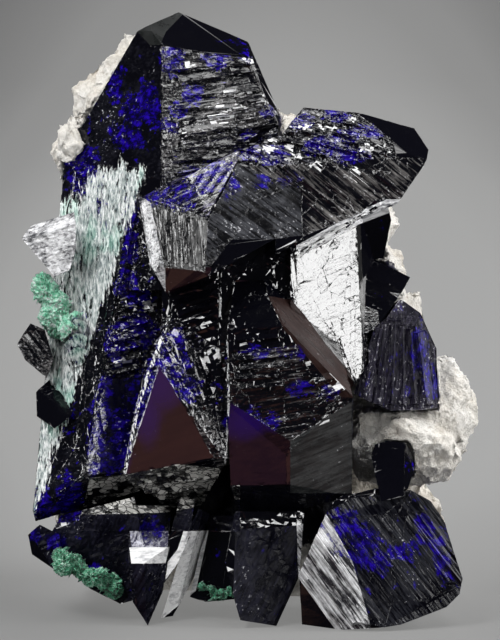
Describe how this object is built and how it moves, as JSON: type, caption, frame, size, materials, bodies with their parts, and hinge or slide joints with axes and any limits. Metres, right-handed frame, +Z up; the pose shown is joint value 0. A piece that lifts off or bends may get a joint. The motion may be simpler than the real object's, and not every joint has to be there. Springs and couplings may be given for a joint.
{
  "type": "azurite mineral specimen",
  "caption": "Free-standing cluster of dark blue azurite crystals with velvety green malachite on a pale clay rock base.",
  "frame": {"origin": "centre of the bounding box's underside, on the surface that the specimen stands on", "axes": "+Z up along the longest extent, +X to the viewer's right and -Y towards the viewer, with the wide crystal faces on the -Y side and the host rock behind"},
  "size_m": [0.0742, 0.0574, 0.0939],
  "materials": {
    "azurite": "glassy crystal faces, near black to deep blue",
    "coated_azurite": "pale glinting crystal face",
    "host_rock": "rough and chalky",
    "malachite": "velvety crust"
  },
  "bodies": {
    "root": {"azurite_cluster": "azurite", "azurite_rounded_crystal": "azurite", "azurite_ledge_crystal": "azurite", "azurite_left_tip": "coated_azurite", "azurite_left_upper": "azurite", "azurite_left_lower": "azurite", "host_rock": "host_rock", "malachite_left": "malachite", "malachite_lower_left": "malachite", "malachite_foot": "malachite"}
  },
  "joints": []
}
